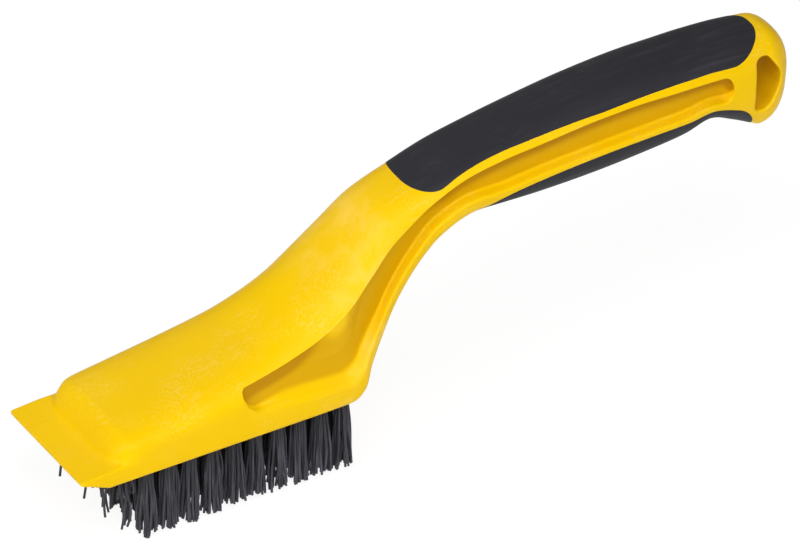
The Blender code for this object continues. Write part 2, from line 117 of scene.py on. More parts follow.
links.new(seen_share.outputs["Value"], lit.inputs["Fac"])
links.new(nodes["Principled BSDF"].outputs["BSDF"], lit.inputs[1])
links.new(glow.outputs["Emission"], lit.inputs[2])
links.new(lit.outputs["Shader"], nodes["Material Output"].inputs["Surface"])
floor.data.materials.append(pale)

# The handle moulding: head, scraper lip, cranked neck, channelled grip and knob in one shot of yellow
# polypropylene. Sections fan round the neck from rail to rail: each is a pair of Lame curves, square below
# at the head and oval at the grip, and the side channel is sunk into it down to the web.
HEAD_HALF = 0.0252
GRIP_HALF = 0.0164
KNOB_HALF = 0.0142
NECK_END = 0.0356
KNOB_BEHIND = 0.1755
LIP_LENGTH = 0.0112
FLAT_REAR = 0.1070
LIP_EDGE = 0.0014
LIP_TOP = 0.0067
LIP_SLOPE = 0.076
LIP_CORNER = 0.0008
DOME_START = 0.0120
DOME_CORNER = 0.0120
DOME_END = DOME_START + DOME_CORNER
DOME_RAMP = 0.0092
DOME_FRONT = 0.0173
DOME_MIDDLE = 0.0740
DOME_CROWN = 0.0269
FOOT_FILLET = 0.0045
MELT = 0.0016
DOME_BLEND = 0.0150
ARRIS = 0.0006
LIP_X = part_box("handle_body")[0][0]
UNDERSIDE_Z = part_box("handle_body")[0][2]

(
    TOP_X, TOP_Z, LOW_X, LOW_Z, HALF, SPRING, LOW_POWER, UP_POWER, CHANNEL_TOP, CHANNEL_FLOOR, PAD_SIDE,
) = range(11)


def head(x, top_z, *rest):
    """An upright station that springs from the height of the lip's sloping top."""
    return x, top_z, x, 0, HEAD_HALF, LIP_TOP + LIP_SLOPE * x, *rest


def neck(top_x, top_z, low_x, low_z, half, *rest):
    """A station whose rails are measured from the rear of the head's flat underside."""
    return FLAT_REAR + top_x, top_z, FLAT_REAR + low_x, low_z, half, *rest


def between(first, second, share):
    return first + (second - first) * share


def grip(top_share, top_z, low_share, low_z, half, *rest):
    """A station whose rails are given as shares of the way from the end of the neck to the knob."""
    reach = KNOB_BEHIND - NECK_END
    return neck(NECK_END + reach * top_share, top_z, NECK_END + reach * low_share, low_z, half, *rest)


def narrowing(share):
    return between(HEAD_HALF, GRIP_HALF, share)


def knob_taper(share):
    return between(GRIP_HALF, KNOB_HALF, share)


STATIONS = np.array([
    head(DOME_END, DOME_FRONT, 12, 3.4, 0.0036, 0.0118, 0),
    head(DOME_MIDDLE, DOME_CROWN, 12, 3.3, 0.0037, 0.0112, 0),
    neck(-0.0190, 0.0331, -0.0160, 0, HEAD_HALF, 0.0135, 12, 3.0, 0.0057, 0.0106, 0),
    neck(-0.0110, 0.0388, 0.0000, 0, narrowing(0.02), 0.0165, 12, 2.8, 0.0076, 0.0102, 0),
    neck(-0.0042, 0.0434, 0.0066, 0.0030, narrowing(0.07), 0.0185, 10, 2.8, 0.0079, 0.0100, 0),
    neck(0.0030, 0.0491, 0.0099, 0.0102, narrowing(0.23), 0.0180, 8, 2.8, 0.0084, 0.0098, 0),
    neck(0.0103, 0.0556, 0.0148, 0.0188, narrowing(0.45), 0.0170, 7, 2.8, 0.0083, 0.0094, 0),
    neck(0.0191, 0.0637, 0.0221, 0.0297, narrowing(0.73), 0.0160, 6, 2.8, 0.0085, 0.0092, 0),
    neck(0.0268, 0.0674, 0.0312, 0.0403, narrowing(0.91), 0.0130, 5, 2.9, 0.0072, 0.0082, 0),
    grip(0, 0.0701, 0.0415, 0.0487, GRIP_HALF, 0.0105, 4, 3.0, 0.0050, 0.0084, 0),
    grip(0.1029, 0.0743, 0.1315, 0.0535, GRIP_HALF, 0.0110, 3.4, 3.0, 0.0035, 0.0088, 0.0010),
    grip(0.2173, 0.0780, 0.2244, 0.0526, GRIP_HALF, 0.0135, 3.0, 3.0, 0.0041, 0.0100, 0.0068),
    grip(0.3317, 0.0811, 0.3317, 0.0518, GRIP_HALF, 0.0155, 3.0, 3.0, 0.0054, 0.0123, 0.0100),
    grip(0.4961, 0.0846, 0.4889, 0.0520, GRIP_HALF, 0.0165, 3.0, 3.0, 0.0067, 0.0134, 0.0116),
    grip(0.6748, 0.0862, 0.6605, 0.0537, GRIP_HALF, 0.0165, 3.0, 3.0, 0.0077, 0.0128, 0.0108),
    grip(0.7498, 0.0862, 0.7498, 0.0552, knob_taper(0.10), 0.0155, 3.0, 3.0, 0.0080, 0.0116, 0.0094),
    grip(0.8249, 0.0862, 0.8270, 0.0580, knob_taper(0.32), 0.0140, 3.0, 3.0, 0.0084, 0.0098, 0.0072),
    grip(0.9178, 0.0865, 0.9056, 0.0532, knob_taper(0.64), 0.0165, 3.0, 2.9, 0.0098, 0.0116, 0.0082),
    grip(1, 0.0862, 0.9786, 0.0471, knob_taper(1), 0.0190, 2.9, 2.7, 0.0104, 0.0138, 0.0100),
])
KNOTS = np.concatenate([[0], np.cumsum(np.hypot(*np.diff(STATIONS[:, :2], axis=0).T))])


def station_at(distance):
    """The section at a distance along the top rail, by a smooth curve that keeps level stretches level."""
    i = int(np.clip(np.searchsorted(KNOTS, distance, side="right") - 1, 0, len(KNOTS) - 2))
    span = KNOTS[i + 1] - KNOTS[i]
    t = (distance - KNOTS[i]) / span

    def slope(k):
        low, high = max(k - 1, 0), min(k + 1, len(KNOTS) - 1)
        level = (STATIONS[low + 1] == STATIONS[low]) | (STATIONS[high] == STATIONS[high - 1])
        return np.where(level, 0, (STATIONS[high] - STATIONS[low]) / (KNOTS[high] - KNOTS[low]))

    return (
        (2 * t**3 - 3 * t**2 + 1) * STATIONS[i] + (t**3 - 2 * t**2 + t) * span * slope(i)
        + (3 * t**2 - 2 * t**3) * STATIONS[i + 1] + (t**3 - t**2) * span * slope(i + 1)
    )


def height_of(station):
    return math.hypot(station[TOP_X] - station[LOW_X], station[TOP_Z] - station[LOW_Z])


RAIL = np.linspace(0, KNOTS[-1], 3000)
RAIL_X = np.array([station_at(distance)[TOP_X] for distance in RAIL])


def distance_at(x):
    """Distance along the top rail where the rail passes x, measured from the lip's edge."""
    return float(np.interp(x, RAIL_X, RAIL))


def place(station, section):
    """Turn section points (y, height above the bottom rail) into points of the scene."""
    height = height_of(station)
    up_x = (station[TOP_X] - station[LOW_X]) / height
    up_z = (station[TOP_Z] - station[LOW_Z]) / height
    y, v = section[:, 0], section[:, 1]
    return np.stack([LIP_X + station[LOW_X] + up_x * v, y, UNDERSIDE_Z + station[LOW_Z] + up_z * v], axis=1)


def lame_quarter(half, rise, power, count):
    """Points of a Lame quarter from its widest point, at (half, 0), to its pole, at (0, rise)."""
    t = np.linspace(0, math.pi / 2, count)
    c, s = np.cos(t), np.sin(t)
    c[-1] = 0
    reach = (np.abs(c) ** power + s**power) ** (-1 / power)
    return np.stack([half * reach * c, rise * reach * s], axis=1)


def smooth(share):
    share = np.clip(share, 0, 1)
    return share * share * (3 - 2 * share)


def lengths_along(line):
    return np.concatenate([[0], np.cumsum(np.hypot(*np.diff(line, axis=0).T))])


def point_at(line, length):
    """The point at one length along a line, or a row of points at several lengths."""
    along = lengths_along(line)
    return np.stack([np.interp(length, along, line[:, 0]), np.interp(length, along, line[:, 1])], axis=-1)


def turned_corner(before, corner, after, count):
    """A parabola from one point to another that stays inside the corner between them."""
    t = np.linspace(0, 1, count)[:, None]
    return (1 - t) ** 2 * before + 2 * t * (1 - t) * corner + t**2 * after


def softened(line, length, reach_before, reach_after, count):
    """The line with its corner at this length turned into a short curve."""
    along = lengths_along(line)
    before, after = length - reach_before, length + reach_after
    curve = turned_corner(point_at(line, before), point_at(line, length), point_at(line, after), count)
    return np.concatenate([line[along < before - 1e-7], curve, line[along > after + 1e-7]])


BLUR_STEP = 0.00012
BLUR_EDGE = 0.4


def blurred(line, middle, reach, sigma):
    """The line with its corners near one length melted by a running mean."""
    at = np.arange(0, lengths_along(line)[-1], BLUR_STEP)
    fine = point_at(line, at)
    width = int(3 * sigma / BLUR_STEP) + 1
    kernel = np.exp(-0.5 * (np.arange(-width, width + 1) * BLUR_STEP / sigma) ** 2)
    kernel /= kernel.sum()
    padded = [np.pad(column, width, mode="edge") for column in fine.T]
    soft = np.stack([np.convolve(column, kernel, "valid") for column in padded], axis=1)
    share = np.clip((reach - np.abs(at - middle)) / (BLUR_EDGE * reach), 0, 1)[:, None]
    return np.concatenate([line[:1], (fine * (1 - share) + soft * share)[1:], line[-1:]])


SKIN_POINTS = 240
MELT_REACH = 0.006
CRISP_MELT = 0.0002
NO_LEDGE = 0.0001
NO_RISE = 0.0004
LEAST_FADE = 0.05
FILLET_SHARE = 0.6
FILLET_POINTS = 20
ARRIS_SHARE = 0.35
ARRIS_POINTS = 8


def half_outline(station, dome_half=None):
    """The moulding's outer skin at one section, from the bottom centre up the side to the top centre."""
    spring = station[SPRING]
    lower = lame_quarter(station[HALF], spring, station[LOW_POWER], SKIN_POINTS)[::-1]
    lower = np.stack([lower[:, 0], spring - lower[:, 1]], axis=1)
    narrow = station[HALF] if dome_half is None else dome_half
    upper = lame_quarter(narrow, height_of(station) - spring, station[UP_POWER], SKIN_POINTS)
    upper = np.stack([upper[:, 0], spring + upper[:, 1]], axis=1)
    line = np.concatenate([lower, upper if dome_half is not None else upper[1:]])
    arris_at = lengths_along(lower)[-1]
    if dome_half is None:
        fade = 1 - smooth((station[TOP_X] - DOME_END) / DOME_BLEND)
        return blurred(line, arris_at, MELT_REACH, MELT * fade) if fade > LEAST_FADE else line
    ledge = station[HALF] - dome_half
    rise = height_of(station) - spring
    if rise > NO_RISE and ledge > NO_LEDGE:
        foot, wall = min(FOOT_FILLET, FILLET_SHARE * ledge), min(FOOT_FILLET, FILLET_SHARE * rise)
        line = softened(line, arris_at + ledge, foot, wall, FILLET_POINTS)
    if ledge > NO_LEDGE:
        line = softened(line, arris_at, ARRIS, min(ARRIS, ARRIS_SHARE * ledge), ARRIS_POINTS)
    past = np.clip((station[TOP_X] - DOME_START) / DOME_CORNER, 0, 1)
    if past > 0:
        line = blurred(line, arris_at + ledge / 2, MELT_REACH + ledge, between(CRISP_MELT, MELT, past))
    return line


CORNER_WEIGHT = 0.0035


def evenly(line, count):
    """Points along the line, closer together where it turns."""
    step = np.diff(line, axis=0)
    keep = np.concatenate([[True], np.hypot(step[:, 0], step[:, 1]) > 1e-9])
    line = line[keep]
    step = np.diff(line, axis=0)
    size = np.hypot(step[:, 0], step[:, 1])
    heading = np.unwrap(np.arctan2(step[:, 1], step[:, 0]))
    turn = np.abs(np.diff(heading))
    weight = size.copy()
    weight[1:] += CORNER_WEIGHT * turn / 2
    weight[:-1] += CORNER_WEIGHT * turn / 2
    along = np.concatenate([[0], np.cumsum(weight)])
    at = np.linspace(0, along[-1], count)
    return np.stack([np.interp(at, along, line[:, 0]), np.interp(at, along, line[:, 1])], axis=1)


# The side channel, sunk in both sides from the rear half of the head to the knob. In the head it is a scoop
# whose floor runs out flush, and along the neck and grip it is a filleted trough under a crisp upper edge.
CHANNEL_LOW_ROUND = 0.0090
CHANNEL_HIGH_ROUND = 0.0018
CHANNEL_FRONT_OPENING = 0.0030
CHANNEL_REAR_ROUND = 0.0046
HEAD_SOFT_RIM = 0.0024
SOFT_RIM = 0.0011
CRISP_RIM = 0.0004
channel_from = distance_at(FLAT_REAR - 0.0427)
channel_to = distance_at(FLAT_REAR + KNOB_BEHIND - 0.0160)
head_end = distance_at(FLAT_REAR)
neck_end = distance_at(FLAT_REAR + NECK_END)
NEARLY_SHUT = 0.01
FRONT_RIM_SHARE = 0.45
RIM_EASE_FROM, RIM_EASE = head_end - 0.008, 0.025


def eased(distance, start, reach):
    """A share that rises smoothly from 0 at the start to 1 a reach past it."""
    return smooth((distance - start) / reach)


def rounded_off(past, radius):
    """How far a round corner still lies inside its square corner at this distance past its start."""
    return radius - math.sqrt(radius**2 - max(radius - past, 0) ** 2)


def channel_heights(station, distance):
    """Floor and ceiling of the channel at a section, closing in a round at both ends."""
    past = max(distance - channel_from, 0)
    high = height_of(station) - station[CHANNEL_TOP] - rounded_off(past, CHANNEL_HIGH_ROUND)
    low = min(station[CHANNEL_FLOOR] + rounded_off(past, CHANNEL_LOW_ROUND), high - CHANNEL_FRONT_OPENING)
    half = (high - low) / 2
    rear = np.clip((channel_to - distance) / CHANNEL_REAR_ROUND, NEARLY_SHUT, 1)
    half *= math.sqrt(1 - (1 - rear) ** 2)
    middle = (low + high) / 2
    return middle - half, middle + half


def rim_reach(distance):
    """How far the lower rim of the channel is rounded: softly in the head, less along the neck and grip."""
    full = between(HEAD_SOFT_RIM, SOFT_RIM, eased(distance, RIM_EASE_FROM, RIM_EASE))
    return full * np.clip((distance - channel_from) / CHANNEL_LOW_ROUND, FRONT_RIM_SHARE, 1)


NEARLY_HALF = 0.48


def toward(start, end, reach):
    """The point a reach away from the start, no further than half way to the end."""
    apart = np.hypot(*(end - start))
    return start + (end - start) * min(reach / max(apart, 1e-9), NEARLY_HALF)


FRONT_DEPTH = 0.0032
HEAD_DEPTH = 0.0044
NECK_DEPTH = 0.0045
FRONT_WALL = 0.0016
OPENING_REACH = 0.0180
FRONT_OPENING_SHARE = 0.25
HEAD_LEDGE_RISE = 0.0018
LEDGE_RISE = 0.0003
FLUSH_REACH = 0.0085
FLUSH_DEPTH = 0.0006
HEAD_FILLET = 0.0040
FOOT_OF_WEB = 0.0014
PANEL_MIDDLE = distance_at(FLAT_REAR - 0.0060)
PANEL_REACH = 0.0230
PANEL_DEPTH = 0.0001
PANEL_HEIGHT = 0.0078
CREASE_HEIGHT = 0.0012
KNEE_REACH = 0.0009
BROW_REACH = 0.0032
CRISP_BROW = 0.0001
CEILING_CORNER = 0.0009
SOFT_UPPER_CORNER = 0.0040
SOFT_UPPER_RIM = 0.0030
WALL_EASE_FROM, WALL_EASE = head_end - 0.004, 0.026
MOST_RISE = 0.45
CORNER_OF_DEPTH = 0.3
CORNER_OF_HEIGHT = 0.2
MOST_DROP = 0.6
LEAST_OPENED = 0.5
RIM_OF_DEPTH = 0.3
TURN_OF_CEILING = 0.4
LEAST = 1e-6
LOW_POINTS, LEDGE_POINTS, FOOT_POINTS, WEB_POINTS, KNEE_POINTS, PANEL_POINTS = 9, 5, 9, 6, 7, 5
BROW_POINTS, CORNER_POINTS, CEILING_POINTS, RIM_POINTS = 9, 5, 4, 6
INSIDE_POINTS = LOW_POINTS + LEDGE_POINTS - 1 + FOOT_POINTS + WEB_POINTS - 1 + KNEE_POINTS + PANEL_POINTS
INSIDE_POINTS += BROW_POINTS - 1 + CORNER_POINTS - 1 + CEILING_POINTS


def channel_wall(first, low_edge, high_edge, distance):
    """The wall from below the lower rim, in over the ledge, up the web and out under the upper edge."""
    into_head = np.clip((distance - channel_from) / (head_end - channel_from), 0, 1)
    past_head = eased(distance, WALL_EASE_FROM, WALL_EASE)
    depth = between(between(FRONT_DEPTH, HEAD_DEPTH, into_head), NECK_DEPTH, past_head)
    rear = np.clip((channel_to - distance) / CHANNEL_REAR_ROUND, 0, 1)
    front = np.clip((distance - channel_from) / FRONT_WALL, 0, 1)
    sunk = math.sqrt(1 - (1 - rear) ** 2) * math.sqrt(1 - (1 - front) ** 2)
    web = between(min(low_edge[0], high_edge[0]), station_at(distance)[HALF] - depth, sunk)
    height = max(high_edge[1] - low_edge[1], LEAST)
    opened = min(between(FRONT_OPENING_SHARE, 1, (distance - channel_from) / OPENING_REACH), 1)
    rise = min(between(HEAD_LEDGE_RISE * opened, LEDGE_RISE, past_head), MOST_RISE * height) * sunk
    full_foot = eased(distance, channel_from, FLUSH_REACH)
    foot_x = between(max(low_edge[0] - FLUSH_DEPTH, web), web, full_foot)
    foot = np.array([foot_x, low_edge[1] + rise])

    panel = smooth(1 - abs(distance - PANEL_MIDDLE) / PANEL_REACH)
    corner = min(CEILING_CORNER, CORNER_OF_DEPTH * max(low_edge[0] - web, LEAST))
    corner = min(between(corner, SOFT_UPPER_CORNER, panel), CORNER_OF_HEIGHT * height)
    top = np.array([between(web, max(web, high_edge[0] - PANEL_DEPTH), panel), high_edge[1] - corner])
    drop = min(between(CREASE_HEIGHT, PANEL_HEIGHT, panel), MOST_DROP * (top[1] - foot[1]))
    knee = np.array([web, top[1] - drop])
    high = np.array([top[0], high_edge[1]])

    low = turned_corner(first, low_edge, toward(low_edge, foot, rim_reach(distance)), LOW_POINTS)
    fillet = between(HEAD_FILLET * max(opened, LEAST_OPENED), FOOT_OF_WEB, past_head)
    foot_in, foot_out = toward(foot, low_edge, fillet), toward(foot, knee, fillet)
    footing = turned_corner(foot_in, foot, foot_out, FOOT_POINTS)
    ledge = np.linspace(low[-1], foot_in, LEDGE_POINTS + 1)[1:-1]
    knee_in, knee_out = toward(knee, foot, KNEE_REACH), toward(knee, top, KNEE_REACH)
    web_line = np.linspace(foot_out, knee_in, WEB_POINTS + 1)[1:-1]
    bend = turned_corner(knee_in, knee, knee_out, KNEE_POINTS)
    brow_reach = between(CRISP_BROW, BROW_REACH, panel)
    brow = turned_corner(toward(top, knee, brow_reach), top, toward(top, high, brow_reach), BROW_POINTS)
    face = np.linspace(knee_out, brow[0], PANEL_POINTS + 1)[1:-1]
    rim = between(CRISP_RIM, SOFT_UPPER_RIM, panel)
    out = high_edge - (min(rim, RIM_OF_DEPTH * max(high_edge[0] - top[0], LEAST)), 0)
    turn_end = high + (min(corner, TURN_OF_CEILING * max(out[0] - high[0], LEAST)), 0)
    turn = turned_corner(brow[-1], high, turn_end, CORNER_POINTS)[1:]
    ceiling = np.linspace(turn[-1], out, CEILING_POINTS + 1)[1:]
    wall = np.concatenate([low, ledge, footing, web_line, bend, face, brow, turn, ceiling])
    shade = channel_shade(wall, low_edge, high_edge, foot[1], fillet * opened, knee[1], panel, distance)
    return wall, rim, shade


# Painted shade in the side channel: its colour is darkened where shade falls, most under the upper edge, less
# on the head's panel and more down the neck.
SHADE_DEPTH = 0.0015
SHADE_REACH = 0.0080
UNDER_EDGE = 1.7
UNDER_EDGE_LESS_ON_PANEL = 0.8
UNDER_EDGE_LESS_IN_NECK = 0.65
NECK_SHADE = 0.25
NECK_SHADE_FROM, NECK_SHADE_IN = head_end - 0.012, 0.010
NECK_SHADE_TO, NECK_SHADE_OUT = neck_end - 0.004, 0.012
PANEL_LIGHT = 0.30


def channel_shade(wall, low_edge, high_edge, foot_v, foot_reach, knee_v, panel, distance):
    """How much painted shade each point of the wall takes: up to 1 in the channel, and more under the edge
    where painted shadow falls.
    """
    skin_x = np.interp(wall[:, 1], (low_edge[1], high_edge[1]), (low_edge[0], high_edge[0]))
    skin_x = between(low_edge[0], skin_x, panel)
    shade = smooth((skin_x - wall[:, 0]) / SHADE_DEPTH) * smooth((wall[:, 1] - foot_v) / foot_reach)
    in_neck = eased(distance, NECK_SHADE_FROM, NECK_SHADE_IN)
    in_neck *= 1 - eased(distance, NECK_SHADE_TO, NECK_SHADE_OUT)
    on_panel = panel * smooth((wall[:, 1] - knee_v) / KNEE_REACH + 0.5)
    under_edge = UNDER_EDGE * (1 - smooth((high_edge[1] - wall[:, 1]) / SHADE_REACH))
    under_edge *= (1 - UNDER_EDGE_LESS_ON_PANEL * panel) * (1 - UNDER_EDGE_LESS_IN_NECK * in_neck)
    shade *= 1 - PANEL_LIGHT * on_panel
    return shade * (1 + np.maximum(under_edge, NECK_SHADE * in_neck * (1 - on_panel)))


BELOW_POINTS, ABOVE_POINTS = 44, 44
LOW_RIM_SHARE, HIGH_RIM_SHARE = 0.35, 0.2


def half_ring(station, distance, dome_half=None, edges=None):
    """Half of the moulding's section with its channel, always with the same number of points."""
    line = half_outline(station, dome_half)
    along = lengths_along(line)
    if edges is None:
        low_v, high_v = channel_heights(station, distance)
        rising = line[:, 1] + np.arange(len(line)) * 1e-9
        low_length = float(np.interp(low_v, rising, along))
        high_length = float(np.interp(high_v, rising, along))
    else:
        low_length, high_length = edges[0] * along[-1], edges[1] * along[-1]
    open_here = edges is None and channel_from <= distance <= channel_to
    gap = high_length - low_length
    start = low_length - min(rim_reach(distance), LOW_RIM_SHARE * gap)
    first = point_at(line, start)
    if open_here:
        low_edge, high_edge = point_at(line, low_length), point_at(line, high_length)
        wall, rim, painted_shade = channel_wall(first, low_edge, high_edge, distance)
    else:
        rim = CRISP_RIM
    end = high_length + min(rim, HIGH_RIM_SHARE * gap)
    last = point_at(line, end)
    below = evenly(np.concatenate([line[along < start], [first]]), BELOW_POINTS)
    above = evenly(np.concatenate([[last], line[along > end]]), ABOVE_POINTS)
    if open_here:
        upper_rim = turned_corner(wall[-1], high_edge, last, RIM_POINTS)[1:-1]
        middle = np.concatenate([wall[1:], upper_rim])
        painted_shade = np.concatenate([painted_shade[1:], np.zeros(RIM_POINTS - 2)])
    else:
        count = INSIDE_POINTS - 1 + (RIM_POINTS - 2)
        painted_shade = np.zeros(count)
        middle = point_at(line, np.linspace(start, end, count + 2)[1:-1])
    ring = np.concatenate([below, middle, above])
    ring[0, 0] = ring[-1, 0] = 0
    painted_shade = np.concatenate([np.zeros(len(below)), painted_shade, np.zeros(len(above))])
    return ring, painted_shade, (low_length / along[-1], high_length / along[-1])


LEAST_CROWN = 2e-5


def lip_station(x, low_z, half, crown):
    """An upright section through the scraper lip or the front of the dome."""
    top = LIP_TOP + LIP_SLOPE * x
    crown = max(crown, top + LEAST_CROWN)
    powers = STATIONS[0, [LOW_POWER, UP_POWER]]
    return np.array([x, crown, x, low_z, half, top - low_z, *powers, 0, 0, 0])


EDGE_ROUND = 0.00025
EDGE_TUCK = 0.2
RAMP_SOFTENING = 0.0011
lip_low = LIP_TOP - LIP_EDGE
dome_slope = (DOME_CROWN - DOME_FRONT) / (DOME_MIDDLE - DOME_END)
_, _, front_edges = half_ring(station_at(channel_from), channel_from)
rows, painted_shades = [], []
lip_xs = [0, 0.00003, 0.00008, 0.00016, 0.00026, 0.0004, 0.0006, 0.0008]
lip_xs += list(np.linspace(0.0014, LIP_LENGTH - 0.0008, 11))
lip_xs += list(np.linspace(LIP_LENGTH - 0.0005, LIP_LENGTH + 0.0005, 5))
lip_xs += list(np.linspace(DOME_START, DOME_END, 50)[:-1])
for x in lip_xs:
    low_z = max(lip_low * (1 - x / LIP_LENGTH), 0)
    blunt = rounded_off(x, EDGE_ROUND)
    past = x - DOME_START
    dome_half = HEAD_HALF - DOME_CORNER
    crown = 0
    if past > 0:
        soft = math.sqrt(past**2 + RAMP_SOFTENING**2) - RAMP_SOFTENING
        rise = min(soft / (DOME_RAMP - RAMP_SOFTENING), 1)
        full = DOME_FRONT - (DOME_END - x) * dome_slope
        top = LIP_TOP + LIP_SLOPE * x
        crown = top + (full - top) * rise * (2 - rise)
        dome_half += math.sqrt(max(DOME_CORNER**2 - (DOME_END - x) ** 2, 0))
    half = HEAD_HALF - rounded_off(x, LIP_CORNER) - blunt * EDGE_TUCK
    station = lip_station(x, low_z + blunt, half, crown)
    ring, painted_shade, _ = half_ring(station, 0, dome_half, front_edges)
    if blunt > 0:
        ring[:, 1] = np.minimum(ring[:, 1], station[TOP_Z] - station[LOW_Z] - blunt)
    rows.append(place(station, ring))
    painted_shades.append(painted_shade)

JUST = 1e-6
_, _, rear_edges = half_ring(station_at(channel_to), channel_to)
ahead = np.arange(0, channel_from - 0.0003, 0.0011)
opening = channel_from + np.array([
    -0.0002, -JUST, JUST, 0.00005, 0.00015, 0.0003, 0.0005, 0.0008, 0.0011, 0.0015, 0.0020, 0.0026, 0.0033,
])
along_body = np.arange(channel_from + 0.0041, channel_to - 0.0060, 0.00115)
closing = channel_to - np.array([
    0.0052, 0.0044, 0.0036, 0.0028, 0.0021, 0.0015, 0.0010, 0.0006, 0.0003, 0.0001, JUST, -JUST, -0.0003,
])
behind = np.linspace(channel_to + 0.0010, KNOTS[-1], 18)
for distance in np.concatenate([ahead, opening, along_body, closing, behind]):
    edges = front_edges if distance < channel_from else None
    if distance > channel_to + 0.0005:
        edges = rear_edges
    station = station_at(distance)
    ring, painted_shade, _ = half_ring(station, distance, None, edges)
    rows.append(place(station, ring))
    painted_shades.append(painted_shade)

KNOB_ROUND = 0.0127
last = STATIONS[-1]
middle_x, middle_z = (last[TOP_X] + last[LOW_X]) / 2, (last[TOP_Z] + last[LOW_Z]) / 2
centre = np.array([LIP_X + middle_x, 0, UNDERSIDE_Z + middle_z])
lean = math.atan2(last[TOP_X] - last[LOW_X], last[TOP_Z] - last[LOW_Z])
outward = np.array([math.cos(lean), 0, -math.sin(lean)])
knob_rim = rows[-1]
for angle in np.radians(np.linspace(0, 89, 34)[1:]):
    rows.append(centre + (knob_rim - centre) * math.cos(angle) + outward * KNOB_ROUND * math.sin(angle))
    painted_shades.append(np.zeros(len(knob_rim)))

shape = bmesh.new()
# Each vertex keeps how much painted shade its colour takes, for the moulding's material.
painted_shade_layer = shape.verts.layers.float.new("painted_shade")
grid = []
for row, painted_shade in zip(rows, painted_shades):
    grid.append([shape.verts.new(point) for point in row])
    for vertex, depth in zip(grid[-1], painted_shade):
        vertex[painted_shade_layer] = depth
for row, following in zip(grid, grid[1:]):
    for i in range(len(row) - 1):
        shape.faces.new((row[i], row[i + 1], following[i + 1], following[i]))
shape.faces.new(grid[0])
shape.faces.new(list(reversed(grid[-1])))
bmesh.ops.remove_doubles(shape, verts=shape.verts, dist=3e-6)
bmesh.ops.dissolve_degenerate(shape, dist=1e-6, edges=shape.edges)

# The hang hole through the knob: a rounded D with its flat towards the grip and a soft rim all round.
HOLE_FLAT = FLAT_REAR + KNOB_BEHIND - 0.0067
HOLE_SHOULDER = 0.0050
HOLE_REACH = 0.0124
HOLE_MID = 0.0686
HOLE_HALF = 0.0107
HOLE_LEAN = 0.0004
HOLE_CORNERS = (0.0026, 0.0040, 0.0080, 0.0036, 0.0024)
HOLE_RIM = 0.0010
# Painted shade on the hole's wall, deepening a little way in past the rim.
HOLE_PAINTED_SHADE = 0.6
ARC_STEPS = 12
AROUND_STEPS = 720
RIM_STEPS = 6
WALL_STEPS = 8
BARE_STEPS, PAINTED_SHADE_STEPS = 2, 6
hole_corners = [
    Vector((HOLE_FLAT - HOLE_LEAN, HOLE_MID - HOLE_HALF)),
    Vector((HOLE_FLAT + HOLE_SHOULDER, HOLE_MID - HOLE_HALF)),
    Vector((HOLE_FLAT + HOLE_REACH, HOLE_MID)),
    Vector((HOLE_FLAT + HOLE_SHOULDER + HOLE_LEAN, HOLE_MID + HOLE_HALF)),
    Vector((HOLE_FLAT + HOLE_LEAN, HOLE_MID + HOLE_HALF)),
]
edge_line = []
for i, corner in enumerate(hole_corners):
    before, after, radius = hole_corners[i - 1], hole_corners[(i + 1) % 5], HOLE_CORNERS[i]
    into, out = (before - corner).normalized(), (after - corner).normalized()
    half_angle = into.angle(out) / 2
    middle = corner + (into + out).normalized() * (radius / math.sin(half_angle))
    start = corner + into * (radius / math.tan(half_angle)) - middle
    sweep = math.pi - 2 * half_angle
    for step in range(ARC_STEPS + 1):
        turn = sweep * step / ARC_STEPS
        spoke_x = start.x * math.cos(turn) - start.y * math.sin(turn)
        spoke_z = start.x * math.sin(turn) + start.y * math.cos(turn)
        edge_line.append((LIP_X + middle.x + spoke_x, UNDERSIDE_Z + middle.y + spoke_z))
edge_line = np.array([*edge_line, edge_line[0]])
outline = point_at(edge_line, np.linspace(0, lengths_along(edge_line)[-1], AROUND_STEPS + 1)[:-1])
tangent = np.roll(outline, -1, axis=0) - np.roll(outline, 1, axis=0)
normals = np.stack([tangent[:, 1], -tangent[:, 0]], axis=1) / np.hypot(*tangent.T)[:, None]
from_middle = outline - outline.mean(axis=0)
if (normals * from_middle).sum() < 0:
    normals = -normals

skin = BVHTree.FromBMesh(shape)


def skin_y(x, z):
    """Half thickness of the moulding at a point of its side view."""
    hit = skin.ray_cast(Vector((x, 0.06, z)), Vector((0, -1, 0)))[0]
    return hit.y


def nearest_on_outline(x, z):
    """Index of the outline point nearest to a place, and how far outside the outline the place is."""
    apart = np.hypot(outline[:, 0] - x, outline[:, 1] - z)
    i = int(apart.argmin())
    outside = (x - outline[i, 0]) * normals[i, 0] + (z - outline[i, 1]) * normals[i, 1]
    return i, outside


OFF_MIDDLE = 1e-5
NEAR_HOLE_X = 0.003
NEAR_HOLE_Z = 0.015


def in_hole(vertex):
    """Whether a vertex of the knob's skin lies over the hole or its rim."""
    near_x = vertex.co.x > outline[:, 0].min() - NEAR_HOLE_X
    near_z = abs(vertex.co.z - outline[:, 1].mean()) < NEAR_HOLE_Z
    if not (near_x and near_z and vertex.co.y > OFF_MIDDLE):
        return False
    return nearest_on_outline(vertex.co.x, vertex.co.z)[1] < HOLE_RIM


